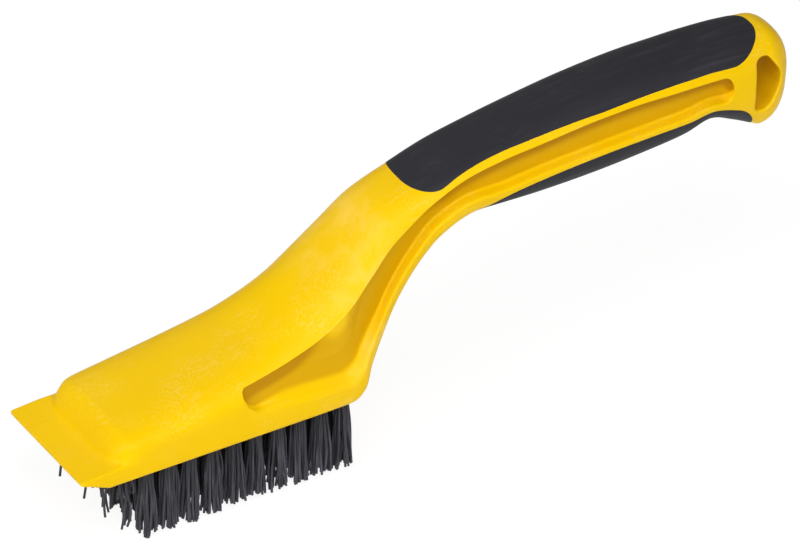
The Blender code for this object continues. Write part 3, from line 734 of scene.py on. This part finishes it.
over_hole = [vertex for vertex in shape.verts if in_hole(vertex)]
bmesh.ops.delete(shape, geom=over_hole, context="VERTS")
open_edges = [edge for edge in shape.edges if edge.is_boundary]
open_edges = [edge for edge in open_edges if max(vertex.co.y for vertex in edge.verts) > OFF_MIDDLE]
loop = [open_edges[0].verts[0]]
unused = set(open_edges)
while unused:
    edge = next(edge for edge in loop[-1].link_edges if edge in unused)
    unused.remove(edge)
    loop.append(edge.other_vert(loop[-1]))
loop = loop[:-1]
feet = []
for vertex in loop:
    i, _ = nearest_on_outline(vertex.co.x, vertex.co.z)
    feet.append(i)
    x, z = outline[i] + normals[i] * HOLE_RIM
    vertex.co = (x, skin_y(x, z), z)
previous = loop
for step in range(1, RIM_STEPS + WALL_STEPS + 1):
    ring = []
    for i in feet:
        angle = math.pi / 2 * min(step / RIM_STEPS, 1)
        x, z = outline[i] + normals[i] * HOLE_RIM * (1 - math.sin(angle))
        y = skin_y(x, z) - HOLE_RIM * (1 - math.cos(angle))
        y *= 1 - max(step - RIM_STEPS, 0) / WALL_STEPS
        ring.append(shape.verts.new((x, y, z)))
        ring[-1][painted_shade_layer] = HOLE_PAINTED_SHADE * min(max(step - BARE_STEPS, 0) / PAINTED_SHADE_STEPS, 1)
    for k in range(len(ring)):
        m = (k + 1) % len(ring)
        shape.faces.new((previous[k], previous[m], ring[m], ring[k]))
    previous = ring
bmesh.ops.remove_doubles(shape, verts=shape.verts, dist=3e-6)
bmesh.ops.recalc_face_normals(shape, faces=shape.faces)


def new_piece(name, shape):
    """An object made from a shape that is finished."""
    mesh = bpy.data.meshes.new(name)
    shape.to_mesh(mesh)
    shape.free()
    piece = bpy.data.objects.new(name, mesh)
    bpy.context.scene.collection.objects.link(piece)
    return piece


def select_alone(piece):
    bpy.ops.object.select_all(action="DESELECT")
    piece.select_set(True)
    bpy.context.view_layer.objects.active = piece


def finish_piece(piece, smooth_angle):
    """Weld a piece, turn its faces outward and shade it smooth, with sharp edges kept sharp."""
    shape = bmesh.new()
    shape.from_mesh(piece.data)
    bmesh.ops.remove_doubles(shape, verts=shape.verts, dist=1e-6)
    bmesh.ops.recalc_face_normals(shape, faces=shape.faces)
    shape.to_mesh(piece.data)
    shape.free()
    select_alone(piece)
    bpy.ops.object.shade_smooth_by_angle(angle=math.radians(smooth_angle))


handle = new_piece("handle_moulding", shape)
mirror = handle.modifiers.new("other_side", "MIRROR")
mirror.use_axis = (False, True, False)
mirror.merge_threshold = 5e-6
select_alone(handle)
bpy.ops.object.modifier_apply(modifier=mirror.name)
finish_piece(handle, 38)


def wired(tree, node, settings):
    """A node with its inputs set, each to a value or to another node's output."""
    for name, value in settings.items():
        if isinstance(value, bpy.types.NodeSocket):
            tree.links.new(value, node.inputs[name])
        else:
            node.inputs[name].default_value = value
    return node


def new_material(name, roughness, gloss):
    material = bpy.data.materials.new(name)
    material.use_nodes = True
    tree = material.node_tree
    shader = wired(tree, tree.nodes["Principled BSDF"], {"Roughness": roughness, "Specular IOR Level": gloss})
    return material, tree, shader


def object_coords(tree):
    return tree.nodes.new("ShaderNodeTexCoord").outputs["Object"]


def axis(tree, name):
    split = wired(tree, tree.nodes.new("ShaderNodeSeparateXYZ"), {"Vector": object_coords(tree)})
    return split.outputs[name]


def stretched(tree, turn_y, scale):
    """Object coordinates turned about Y and scaled unevenly, for streaks."""
    settings = {"Vector": object_coords(tree), "Rotation": (0, turn_y, 0), "Scale": scale}
    return wired(tree, tree.nodes.new("ShaderNodeMapping"), settings).outputs["Vector"]


def noise(tree, vector, scale, detail, roughness=0.6):
    settings = {"Vector": vector, "Scale": scale, "Detail": detail, "Roughness": roughness}
    return wired(tree, tree.nodes.new("ShaderNodeTexNoise"), settings).outputs["Fac"]


def ramp(tree, value, low, high, to_low=0.0, to_high=1.0):
    node = tree.nodes.new("ShaderNodeMapRange")
    node.interpolation_type = "SMOOTHSTEP"
    settings = {"Value": value, "From Min": low, "From Max": high, "To Min": to_low, "To Max": to_high}
    return wired(tree, node, settings).outputs["Result"]


def joined(tree, operation, first, second):
    node = tree.nodes.new("ShaderNodeMath")
    node.operation = operation
    return wired(tree, node, {0: first, 1: second}).outputs["Value"]


def times(tree, first, second):
    return joined(tree, "MULTIPLY", first, second)


def largest(tree, first, second):
    return joined(tree, "MAXIMUM", first, second)


def blended(tree, share, first, second, way="MIX"):
    """The first colour moved by a share towards the second, or towards its product with it."""
    node = tree.nodes.new("ShaderNodeMix")
    node.data_type, node.blend_type = "RGBA", way
    return wired(tree, node, {"Factor": share, 6: first, 7: second}).outputs[2]


def bumped(tree, shader, height, strength, distance):
    settings = {"Height": height, "Strength": strength, "Distance": distance}
    bump = wired(tree, tree.nodes.new("ShaderNodeBump"), settings)
    wired(tree, shader, {"Normal": bump.outputs["Normal"]})


YELLOW = (0.86, 0.54, 0.0, 1)
DEEP_YELLOW = (0.84, 0.52, 0.0, 1)
CHALK_AND_HIGHLIGHT = (0.92, 0.63, 0.14, 1)
# Painted shade: the channel's colour is multiplied darker where shade falls, and darker again by a painted
# shadow under its upper edge.
PAINTED_SHADE_TINT = (0.80, 0.71, 1.0, 1)
PAINTED_SHADOW_TINT = (0.72, 0.62, 1.0, 1)
# Painted highlight: a pale patch along the neck stands in for a highlight and takes the same pale colour as
# the real chalky speckles.
NECK_HIGHLIGHT_X = [LIP_X + FLAT_REAR + past for past in (-0.0140, 0.0040, 0.0120, 0.0300)]
CHALK = 0.34
CHALK_IN_RECESS = 0.04
CHALK_ON_LIP = 0.25
moulded, tree, shader = new_material("yellow_polypropylene", 0.40, 0.07)
coords = object_coords(tree)
along_x = axis(tree, "X")
# The painted shade of each vertex, read from the moulding's attribute.
attribute = tree.nodes.new("ShaderNodeAttribute")
attribute.attribute_name = "painted_shade"
painted_shade = attribute.outputs["Fac"]

clouds = ramp(tree, noise(tree, coords, 42, 4), 0.42, 0.66)
grains = ramp(tree, noise(tree, coords, 1100, 4, 0.7), 0.48, 0.66)
streaks = stretched(tree, 0.1, (110, 620, 620))
rubs = ramp(tree, noise(tree, streaks, 1, 3), 0.54, 0.70)
chalk = times(tree, clouds, largest(tree, grains, rubs))
on_lip = ramp(tree, along_x, LIP_X + DOME_START, LIP_X + DOME_END, CHALK_ON_LIP, 1)
chalk = times(tree, chalk, on_lip)
chalk = times(tree, chalk, ramp(tree, painted_shade, 0, 0.5, CHALK, CHALK_IN_RECESS))
# Painted highlight on the neck, in soft clouds and kept off the painted shade.
painted_neck_highlight = ramp(tree, along_x, NECK_HIGHLIGHT_X[0], NECK_HIGHLIGHT_X[1])
painted_neck_highlight = times(tree, painted_neck_highlight, ramp(tree, along_x, NECK_HIGHLIGHT_X[2], NECK_HIGHLIGHT_X[3], 1, 0))
neck_highlight_clouds = ramp(tree, noise(tree, coords, 75, 4), 0.40, 0.66, 0.04, 0.42)
painted_neck_highlight = times(tree, painted_neck_highlight, neck_highlight_clouds)
painted_neck_highlight = times(tree, painted_neck_highlight, ramp(tree, painted_shade, 0, 0.3, 1, 0))

patches = ramp(tree, noise(tree, coords, 30, 3), 0.3, 0.7)
colour = blended(tree, patches, DEEP_YELLOW, YELLOW)
colour = blended(tree, largest(tree, chalk, painted_neck_highlight), colour, CHALK_AND_HIGHLIGHT)
# Painted shade, then painted shadow under the channel's upper edge.
colour = blended(tree, ramp(tree, painted_shade, 0, 1), colour, PAINTED_SHADE_TINT, "MULTIPLY")
colour = blended(tree, ramp(tree, painted_shade, 1, 2), colour, PAINTED_SHADOW_TINT, "MULTIPLY")
wired(tree, shader, {"Base Color": colour})
bumped(tree, shader, noise(tree, coords, 2500, 3), 0.12, 0.00005)
handle.data.materials.append(moulded)
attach(handle, "root")
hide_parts("handle_body")

# The grip pads: two soft black overmoulded skins in shallow recesses, one along the top of the grip with
# rounded front corners and a round end at the knob, and one under the grip that flares down the knob.
PAD_PROUD = 0.00010
PAD_SUNK = 0.0009
PAD_EDGE_ROUND = 0.00035
TOP_PAD_START = FLAT_REAR + 0.0329
TOP_PAD_END = FLAT_REAR + 0.1742
TOP_PAD_NEAR_NOSE = 0.0104
TOP_PAD_FAR_NOSE = 0.0040
TOP_PAD_TAIL = 0.0150
TOP_PAD_ROUND = 2.3
PAD_FAR_STRIP = 0.0016
PAD_STRIPS = np.array([
    (0.0435, 0.0028), (0.0460, 0.0033), (0.0500, 0.0037), (0.0550, 0.0040), (0.0600, 0.0041),
    (0.0670, 0.0040), (0.0750, 0.0034), (0.0900, 0.0027), (0.1060, 0.0020), (0.1220, 0.0019),
    (0.1380, 0.0018), (0.1490, 0.0014), (0.1570, 0.0011),
])
PAD_STRIP_BLUR = 0.0030
UNDER_PAD_START = distance_at(FLAT_REAR + 0.0530)
UNDER_PAD_END = distance_at(FLAT_REAR + KNOB_BEHIND - 0.0035)
UNDER_PAD_TAIL = 0.0100
PAD_COLUMNS = 61


def lifted(section, lift):
    """Move section points along the section's outward normal."""
    step = np.gradient(section, axis=0)
    normal = np.stack([step[:, 1], -step[:, 0]], axis=1)
    normal /= np.maximum(np.hypot(normal[:, 0], normal[:, 1]), 1e-12)[:, None]
    return section + normal * lift[:, None]


def pad_shell(name, stations, sections, margins):
    """A closed skin from rows of section points and their distances to the pad's edge."""
    shape = bmesh.new()
    outer, inner = [], []
    for station, section, margin in zip(stations, sections, margins):
        share = np.clip(margin / PAD_EDGE_ROUND, 0, 1)
        lift = -PAD_EDGE_ROUND + (PAD_EDGE_ROUND + PAD_PROUD) * np.sqrt(1 - (1 - share) ** 2)
        top = place(station, lifted(section, lift))
        low = place(station, lifted(section, np.full(len(section), -PAD_SUNK)))
        outer.append([shape.verts.new(point) for point in top])
        inner.append([shape.verts.new(point) for point in low])
    for a, b in zip(range(len(outer) - 1), range(1, len(outer))):
        for i in range(PAD_COLUMNS - 1):
            shape.faces.new((outer[a][i], outer[a][i + 1], outer[b][i + 1], outer[b][i]))
            shape.faces.new((inner[a][i], inner[b][i], inner[b][i + 1], inner[a][i + 1]))
        for i in (0, PAD_COLUMNS - 1):
            shape.faces.new((outer[a][i], outer[b][i], inner[b][i], inner[a][i]))
    for a in (0, len(outer) - 1):
        for i in range(PAD_COLUMNS - 1):
            shape.faces.new((outer[a][i], outer[a][i + 1], inner[a][i + 1], inner[a][i]))
    bmesh.ops.remove_doubles(shape, verts=shape.verts, dist=2e-6)
    pad = new_piece(name, shape)
    finish_piece(pad, 50)
    return pad


def upper_section(station, near_half, far_half):
    """Points across the top of a section, from one side of the pad to the other."""
    across = np.sin(np.linspace(-math.pi / 2, math.pi / 2, PAD_COLUMNS))
    y = across * np.where(across < 0, near_half, far_half)
    power = station[UP_POWER]
    rise = height_of(station) - station[SPRING]
    v = station[SPRING] + rise * (1 - np.abs(y / station[HALF]) ** power) ** (1 / power)
    return np.stack([y, v], axis=1)[::-1]


def rounded_end(past, reach):
    """Share of the pad's full half width at a distance from its nose or tail."""
    from_full = np.clip(1 - past / reach, 0, 1)
    return (1 - from_full**TOP_PAD_ROUND) ** (1 / TOP_PAD_ROUND)


def near_strip(x):
    """Width of the yellow strip left between the pad and the moulding's near side."""
    around_x = x - FLAT_REAR + np.linspace(-PAD_STRIP_BLUR, PAD_STRIP_BLUR, 9)
    return np.interp(around_x, PAD_STRIPS[:, 0], PAD_STRIPS[:, 1]).mean()


TIP_ANGLE = 0.03
nose = TOP_PAD_NEAR_NOSE * (1 - np.cos(np.linspace(TIP_ANGLE, math.pi / 2, 40)))
tail = TOP_PAD_TAIL * (1 - np.cos(np.linspace(math.pi / 2, TIP_ANGLE, 46)))
stretch = np.linspace(TOP_PAD_START + TOP_PAD_NEAR_NOSE, TOP_PAD_END - TOP_PAD_TAIL, 90)[1:-1]
xs = np.concatenate([TOP_PAD_START + nose, stretch, TOP_PAD_END - tail])
stations = [station_at(distance_at(x)) for x in xs]
near_halves, far_halves, sections = [], [], []
for x, station in zip(xs, stations):
    share = rounded_end(TOP_PAD_END - x, TOP_PAD_TAIL)
    near_nose = rounded_end(x - TOP_PAD_START, TOP_PAD_NEAR_NOSE)
    far_nose = rounded_end(x - TOP_PAD_START, TOP_PAD_FAR_NOSE)
    near_halves.append((station[HALF] - near_strip(x)) * share * near_nose)
    far_halves.append((station[HALF] - PAD_FAR_STRIP) * share * far_nose)
    sections.append(upper_section(station, near_halves[-1], far_halves[-1]))
near_outline = np.array([(xs[0], 0), *zip(xs, near_halves), (xs[-1], 0)])
far_outline = np.array([(xs[0], 0), *zip(xs, far_halves), (xs[-1], 0)])


def apart_from(line, x, y):
    """Distance from each point (x, y) to the nearest segment of a line."""
    start, step = line[:-1], np.diff(line, axis=0)
    size = np.maximum((step**2).sum(axis=1), 1e-18)
    offset = np.stack([x - start[:, 0], y - start[:, 1]], axis=1)
    share = np.clip((offset * step).sum(axis=1) / size, 0, 1)
    return np.hypot(*(offset - step * share[:, None]).T).min()


margins = []
for x, section in zip(xs, sections):
    edges = [near_outline if y < 0 else far_outline for y in section[:, 0]]
    margins.append(np.array([apart_from(edge, x, abs(y)) for edge, y in zip(edges, section[:, 0])]))
top_pad = pad_shell("top_grip_pad", stations, sections, margins)

LEAST_SIDE = 0.00005
distances = list(UNDER_PAD_START + np.array([0, 0.00008, 0.0002, 0.0004, 0.0008]))
distances += list(np.arange(UNDER_PAD_START + 0.0014, UNDER_PAD_END - UNDER_PAD_TAIL, 0.0012))
turns = np.radians(np.linspace(90, 1, 36))
distances += list(UNDER_PAD_END - UNDER_PAD_TAIL * (1 - np.cos(turns)))
stations = [station_at(distance) for distance in distances]
sections, margins = [], []
for station, distance in zip(stations, distances):
    tail = min((UNDER_PAD_END - distance) / UNDER_PAD_TAIL, 1)
    side = max(station[PAD_SIDE], LEAST_SIDE) * math.sqrt(1 - (1 - tail) ** 2)
    curve = lame_quarter(station[HALF], station[SPRING], station[LOW_POWER], 400)[::-1]
    curve = np.stack([curve[:, 0], station[SPRING] - curve[:, 1]], axis=1)
    along = lengths_along(curve)
    reach = float(np.interp(side, curve[:, 1] + np.arange(len(curve)) * 1e-10, along))
    at = reach * np.sin(np.linspace(0, math.pi / 2, PAD_COLUMNS // 2 + 1))
    half_section = point_at(curve, at)
    half_section[0, 0] = 0
    other = half_section[::-1][:-1] * (-1, 1)
    sections.append(np.concatenate([other, half_section]))
    from_ends = max(min(distance - UNDER_PAD_START, UNDER_PAD_END - distance), 0)
    inward = np.minimum(reach - at, from_ends)
    margins.append(np.concatenate([inward[::-1][:-1], inward]))
under_pad = pad_shell("under_grip_pad", stations, sections, margins)

CHARCOAL = (0.021, 0.021, 0.026, 1)
RUBBED = (0.040, 0.040, 0.046, 1)
rubber, tree, shader = new_material("black_soft_grip", 0.60, 0.2)
coords = object_coords(tree)
lengthwise = stretched(tree, 0.12, (40, 500, 420))
streaks = ramp(tree, noise(tree, lengthwise, 1, 4), 0.42, 0.75)
haze = ramp(tree, noise(tree, coords, 45, 3), 0.35, 0.75)
colour = blended(tree, times(tree, streaks, haze), CHARCOAL, RUBBED)
wired(tree, shader, {"Base Color": colour})
bumped(tree, shader, noise(tree, coords, 3000, 2), 0.2, 0.00004)
for pad, node in ((top_pad, "grip_pad_top"), (under_pad, "grip_pad_under")):
    pad.data.materials.append(rubber)
    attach(pad, "root")
    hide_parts(node)

# The bristle tufts: 55 bunches of coarse black nylon filament, folded over a wire and driven into blind
# holes in the head. Use has splayed them, left their tips uneven and worn most of the front column away.
TUFT_ROWS = 5
TUFT_COLUMNS = 11
FILAMENT = 0.00092
FILAMENTS = 36
STUBS = 9
LONG_SURVIVORS = 3
TUFT_RADIUS = 0.0023
TIP_RADIUS = 0.0043
CLUMPS = 4
CLUMP_PULL = 0.32
CLUMP_TURN = 0.3
CLUMP_SPREAD = (0.45, 0.8)
CLUMP_TIPS = (0.0010, 0.0008)
STRAND_POINTS = 9
STRAND_WAVE = 0.00045
RIPPLE_SHARE = 0.4
GOLDEN_ANGLE = math.radians(137.5)
LONG_CURL = 0.0007
STUB_CURL = 0.0004
TIP_SCATTER = 0.0003
LEAST_TIP = 0.0002
SHORT_SHARE = 0.05
SHORT_BY = (0.001, 0.004)
WORN_LEAN = 0.0012
LONG_TIPS = (0.002, 0.008)
STUB_TIPS = (0.0165, 0.0215)
IN_HOLE = 0.0006
random.seed(7)


def strand(root, tip, wave):
    """Centre line of one strand from inside its hole to its tip, a little bent and wavy."""
    bend = Vector((random.gauss(0, wave), random.gauss(0, wave), 0))
    ripple = Vector((random.gauss(0, RIPPLE_SHARE * wave), random.gauss(0, RIPPLE_SHARE * wave), 0))
    points = []
    for step in range(STRAND_POINTS):
        t = step / (STRAND_POINTS - 1)
        points.append(root.lerp(tip, t) + bend * math.sin(math.pi * t) + ripple * math.sin(2 * math.pi * t))
    return points


def disc(index, count, radius):
    """Evenly spread places on a disc, one for each index."""
    angle = index * GOLDEN_ANGLE
    reach = radius * math.sqrt((index + 0.5) / count)
    return Vector((reach * math.cos(angle), reach * math.sin(angle), 0))


def tuft_strands(x, y):
    """A full tuft: its strands splay towards their tips and gather there in a few clumps."""
    base = Vector((x, y, UNDERSIDE_Z + IN_HOLE))
    turn = random.uniform(0, 2 * math.pi)
    clumps = []
    for index in range(CLUMPS):
        angle = turn + 2 * math.pi * index / CLUMPS + random.gauss(0, CLUMP_TURN)
        reach = TIP_RADIUS * random.uniform(*CLUMP_SPREAD)
        tip_z = max(random.gauss(*CLUMP_TIPS), LEAST_TIP)
        clumps.append(Vector((reach * math.cos(angle), reach * math.sin(angle), tip_z)))
    strands = []
    for index in range(FILAMENTS):
        spread = disc(index, FILAMENTS, TIP_RADIUS)
        clump = min(clumps, key=lambda place: (place - spread).xy.length)
        scatter = Vector((random.gauss(0, TIP_SCATTER), random.gauss(0, TIP_SCATTER), 0))
        tip = spread.lerp(clump, CLUMP_PULL) + scatter
        tip.z = max(clump.z + random.gauss(TIP_SCATTER, TIP_SCATTER), LEAST_TIP)
        if random.random() < SHORT_SHARE:
            tip.z += random.uniform(*SHORT_BY)
        root = base + disc(index, FILAMENTS, TUFT_RADIUS)
        strands.append(strand(root, Vector((x, y, 0)) + tip, STRAND_WAVE))
    return strands


def worn_strands(x, y, stubs):
    """A worn tuft at the front: a few strands that kept most of their length among short stubs."""
    base = Vector((x, y, UNDERSIDE_Z + IN_HOLE))
    strands = []
    for index in range(LONG_SURVIVORS + stubs):
        long = index < LONG_SURVIVORS
        root = base + disc(index, LONG_SURVIVORS + stubs, TUFT_RADIUS)
        lean = Vector((random.gauss(0, WORN_LEAN), random.gauss(0, WORN_LEAN), 0))
        tip = Vector((root.x + lean.x, root.y + lean.y, random.uniform(*(LONG_TIPS if long else STUB_TIPS))))
        strands.append(strand(root, tip, LONG_CURL if long else STUB_CURL))
    return strands


NYLON_DARK = (0.034, 0.034, 0.040, 1)
NYLON_LIGHT = (0.080, 0.078, 0.098, 1)
nylon, tree, shader = new_material("black_nylon", 0.5, 0.2)
down_strands = stretched(tree, 0, (900, 900, 40))
strand_tone = ramp(tree, noise(tree, down_strands, 1, 2), 0.38, 0.68)
# Painted shade: strands darken towards their roots, where shade falls among them, on top of their own uneven
# tone.
painted_root_shade = ramp(tree, axis(tree, "Z"), UNDERSIDE_Z, UNDERSIDE_Z - 0.012, 0.15, 1.0)
strand_tone_and_root_shade = times(tree, strand_tone, painted_root_shade)
wired(tree, shader, {"Base Color": blended(tree, strand_tone_and_root_shade, NYLON_DARK, NYLON_LIGHT)})

SIDE_ROW = HEAD_HALF - 0.0050
FRONT_COLUMN = LIP_LENGTH + 0.0081
REAR_COLUMN = FLAT_REAR - 0.0017
ROWS_WITH_STUBS = 3
for row in range(TUFT_ROWS):
    for column in range(TUFT_COLUMNS):
        node = f"tuft_{row + 1}_{column + 1:02d}"
        y = between(-SIDE_ROW, SIDE_ROW, row / (TUFT_ROWS - 1))
        x = LIP_X + between(FRONT_COLUMN, REAR_COLUMN, column / (TUFT_COLUMNS - 1))
        if column == 0:
            routes = worn_strands(x, y, STUBS if row < ROWS_WITH_STUBS else 1)
        else:
            routes = tuft_strands(x, y)
        strands = bpy.data.curves.new(node + "_bristles", "CURVE")
        strands.dimensions = "3D"
        strands.bevel_depth = FILAMENT / 2
        strands.bevel_resolution = 1
        strands.use_fill_caps = True
        for route in routes:
            spline = strands.splines.new("POLY")
            spline.points.add(STRAND_POINTS - 1)
            for point, spot in zip(spline.points, route):
                point.co = (*spot, 1)
        tuft = bpy.data.objects.new(node + "_bristles", strands)
        bpy.context.scene.collection.objects.link(tuft)
        select_alone(tuft)
        bpy.ops.object.convert(target="MESH")
        tuft = bpy.context.object
        finish_piece(tuft, 50)
        tuft.data.materials.clear()
        tuft.data.materials.append(nylon)
        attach(tuft, "root")
        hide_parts(node)
